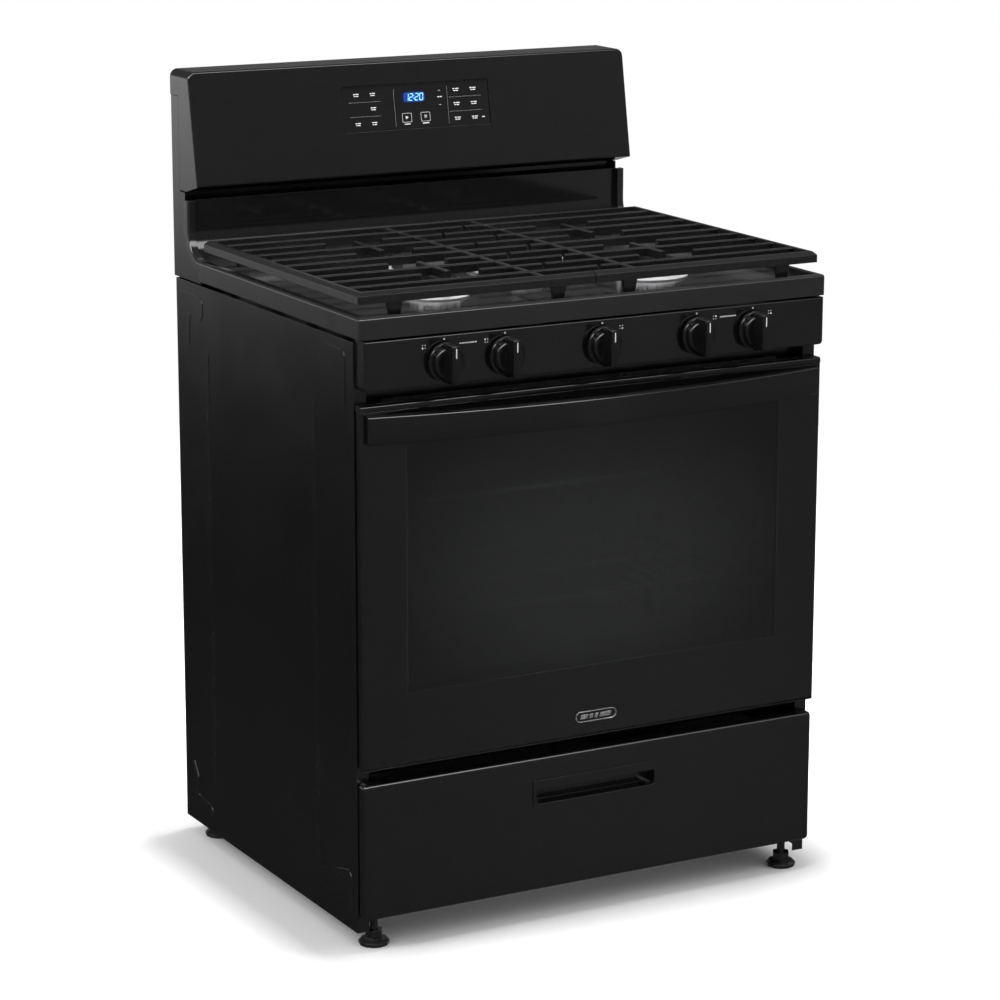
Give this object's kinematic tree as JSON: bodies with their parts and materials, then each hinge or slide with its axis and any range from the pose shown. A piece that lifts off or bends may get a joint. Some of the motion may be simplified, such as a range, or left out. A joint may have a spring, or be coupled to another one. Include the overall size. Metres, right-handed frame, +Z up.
{
  "type": "freestanding gas range",
  "caption": "Black freestanding gas range with cast grates, knob panel, drop-down oven door with bowed handle, storage drawer, levelling legs and electronic console on a backguard.",
  "frame": {"origin": "on the floor under the middle of the overall box", "axes": "+Z up, -Y out of the oven door towards the user, +X to the user's right"},
  "size_m": [0.759, 0.6819, 1.191],
  "materials": {
    "black_enamel": "gloss",
    "grey_enamel": "gloss",
    "zinc_sheet": "satin",
    "tube_steel": "satin",
    "valve_alloy": "cast",
    "brass_stem": "turned",
    "black_cast_iron": "satin enamel",
    "rack_chrome": "plated",
    "white_ceramic": "fired",
    "sensor_steel": "satin",
    "dark_glass": "gloss",
    "clear_glass": "gloss",
    "seal_braid": "woven",
    "fibre_wrap": "loose fibre",
    "knob_plastic": "satin",
    "trim_plastic": "gloss",
    "board": "matte",
    "black_plastic": "matte"
  },
  "bodies": {
    "cabinet": {"side_panel_left": "black_enamel", "side_panel_right": "black_enamel", "rear_panel": "zinc_sheet", "base_frame": "black_enamel", "front_frame": "black_enamel", "oven_liner": "grey_enamel", "oven_floor_plate": "grey_enamel", "oven_insulation": "fibre_wrap", "oven_vent": "black_enamel", "bake_burner": "tube_steel", "broil_burner": "tube_steel", "oven_igniters": "white_ceramic", "oven_lamp": "clear_glass", "oven_sensor": "sensor_steel", "hinge_arms": "zinc_sheet", "drawer_rails": "zinc_sheet", "cabinet_screws": "zinc_sheet", "cooktop": "black_enamel", "burner_bases": "valve_alloy", "burner_caps": "black_cast_iron", "burner_electrodes": "white_ceramic", "control_panel": "black_enamel", "gas_manifold": "tube_steel", "burner_valves": "valve_alloy", "gas_regulator": "valve_alloy", "power_inlet": "black_plastic", "console_panel": "black_enamel", "keypad_panel": "trim_plastic", "control_board": "board", "guard_sides": "black_enamel", "guard_cover": "black_enamel"},
    "oven_door": {"door_glass": "dark_glass", "door_frame": "black_enamel", "door_top_trim": "black_enamel", "door_liner": "grey_enamel", "door_window_glass": "clear_glass", "door_gasket": "seal_braid", "door_handle": "black_enamel", "door_hinges": "zinc_sheet"},
    "storage_drawer": {"drawer_front": "black_enamel", "drawer_pull": "trim_plastic", "drawer_tray": "zinc_sheet"},
    "rack_upper": {"oven_rack_upper": "rack_chrome"},
    "rack_lower": {"oven_rack_lower": "rack_chrome"},
    "left_grate": {"grate_left": "black_cast_iron"},
    "right_grate": {"grate_right": "black_cast_iron"},
    "stem_front_left": {"valve_stem_front_left": "brass_stem"},
    "knob_body_front_left": {"knob_front_left": "knob_plastic"},
    "stem_rear_left": {"valve_stem_rear_left": "brass_stem"},
    "knob_body_rear_left": {"knob_rear_left": "knob_plastic"},
    "stem_centre": {"valve_stem_centre": "brass_stem"},
    "knob_body_centre": {"knob_centre": "knob_plastic"},
    "stem_rear_right": {"valve_stem_rear_right": "brass_stem"},
    "knob_body_rear_right": {"knob_rear_right": "knob_plastic"},
    "stem_front_right": {"valve_stem_front_right": "brass_stem"},
    "knob_body_front_right": {"knob_front_right": "knob_plastic"},
    "foot_rear_left": {"leg_rear_left": "black_plastic"},
    "foot_rear_right": {"leg_rear_right": "black_plastic"},
    "foot_front_left": {"leg_front_left": "black_plastic"},
    "foot_front_right": {"leg_front_right": "black_plastic"}
  },
  "joints": [
    {"name": "door_hinge", "type": "hinge", "parent": "cabinet", "child": "oven_door", "pos_m": [0, -0.286, 0.276], "axis": [1, 0, 0], "range_deg": [0, 90], "stiffness_Nm_per_rad": 8, "springref_deg": -14.32},
    {"name": "drawer_slide", "type": "slide", "parent": "cabinet", "child": "storage_drawer", "axis": [0, -1, 0], "range_m": [0, 0.38]},
    {"name": "rack_upper_slide", "type": "slide", "parent": "cabinet", "child": "rack_upper", "axis": [0, -1, 0], "range_m": [0, 0.015]},
    {"name": "rack_lower_slide", "type": "slide", "parent": "cabinet", "child": "rack_lower", "axis": [0, -1, 0], "range_m": [0, 0.015]},
    {"name": "grate_left_lift", "type": "slide", "parent": "cabinet", "child": "left_grate", "axis": [0, 0, 1], "range_m": [0, 0.15]},
    {"name": "grate_right_lift", "type": "slide", "parent": "cabinet", "child": "right_grate", "axis": [0, 0, 1], "range_m": [0, 0.15]},
    {"name": "knob_turn_front_left", "type": "hinge", "parent": "cabinet", "child": "stem_front_left", "pos_m": [-0.252, -0.29, 0.845], "axis": [0, -1, 0], "range_deg": [0, 240]},
    {"name": "knob_push_front_left", "type": "slide", "parent": "stem_front_left", "child": "knob_body_front_left", "axis": [0, 1, 0], "range_m": [0, 0.003], "stiffness_N_per_m": 900, "springref_m": -0.003},
    {"name": "knob_turn_rear_left", "type": "hinge", "parent": "cabinet", "child": "stem_rear_left", "pos_m": [-0.1565, -0.29, 0.845], "axis": [0, -1, 0], "range_deg": [0, 240]},
    {"name": "knob_push_rear_left", "type": "slide", "parent": "stem_rear_left", "child": "knob_body_rear_left", "axis": [0, 1, 0], "range_m": [0, 0.003], "stiffness_N_per_m": 900, "springref_m": -0.003},
    {"name": "knob_turn_centre", "type": "hinge", "parent": "cabinet", "child": "stem_centre", "pos_m": [0, -0.29, 0.845], "axis": [0, -1, 0], "range_deg": [0, 240]},
    {"name": "knob_push_centre", "type": "slide", "parent": "stem_centre", "child": "knob_body_centre", "axis": [0, 1, 0], "range_m": [0, 0.003], "stiffness_N_per_m": 900, "springref_m": -0.003},
    {"name": "knob_turn_rear_right", "type": "hinge", "parent": "cabinet", "child": "stem_rear_right", "pos_m": [0.1565, -0.29, 0.845], "axis": [0, -1, 0], "range_deg": [0, 240]},
    {"name": "knob_push_rear_right", "type": "slide", "parent": "stem_rear_right", "child": "knob_body_rear_right", "axis": [0, 1, 0], "range_m": [0, 0.003], "stiffness_N_per_m": 900, "springref_m": -0.003},
    {"name": "knob_turn_front_right", "type": "hinge", "parent": "cabinet", "child": "stem_front_right", "pos_m": [0.252, -0.29, 0.845], "axis": [0, -1, 0], "range_deg": [0, 240]},
    {"name": "knob_push_front_right", "type": "slide", "parent": "stem_front_right", "child": "knob_body_front_right", "axis": [0, 1, 0], "range_m": [0, 0.003], "stiffness_N_per_m": 900, "springref_m": -0.003},
    {"name": "leg_turn_rear_left", "type": "hinge", "parent": "cabinet", "child": "foot_rear_left", "pos_m": [-0.347, 0.272, 0.03], "axis": [0, 0, 1], "continuous": true},
    {"name": "leg_turn_rear_right", "type": "hinge", "parent": "cabinet", "child": "foot_rear_right", "pos_m": [0.347, 0.272, 0.03], "axis": [0, 0, 1], "continuous": true},
    {"name": "leg_turn_front_left", "type": "hinge", "parent": "cabinet", "child": "foot_front_left", "pos_m": [-0.347, -0.264, 0.03], "axis": [0, 0, 1], "continuous": true},
    {"name": "leg_turn_front_right", "type": "hinge", "parent": "cabinet", "child": "foot_front_right", "pos_m": [0.347, -0.264, 0.03], "axis": [0, 0, 1], "continuous": true}
  ]
}
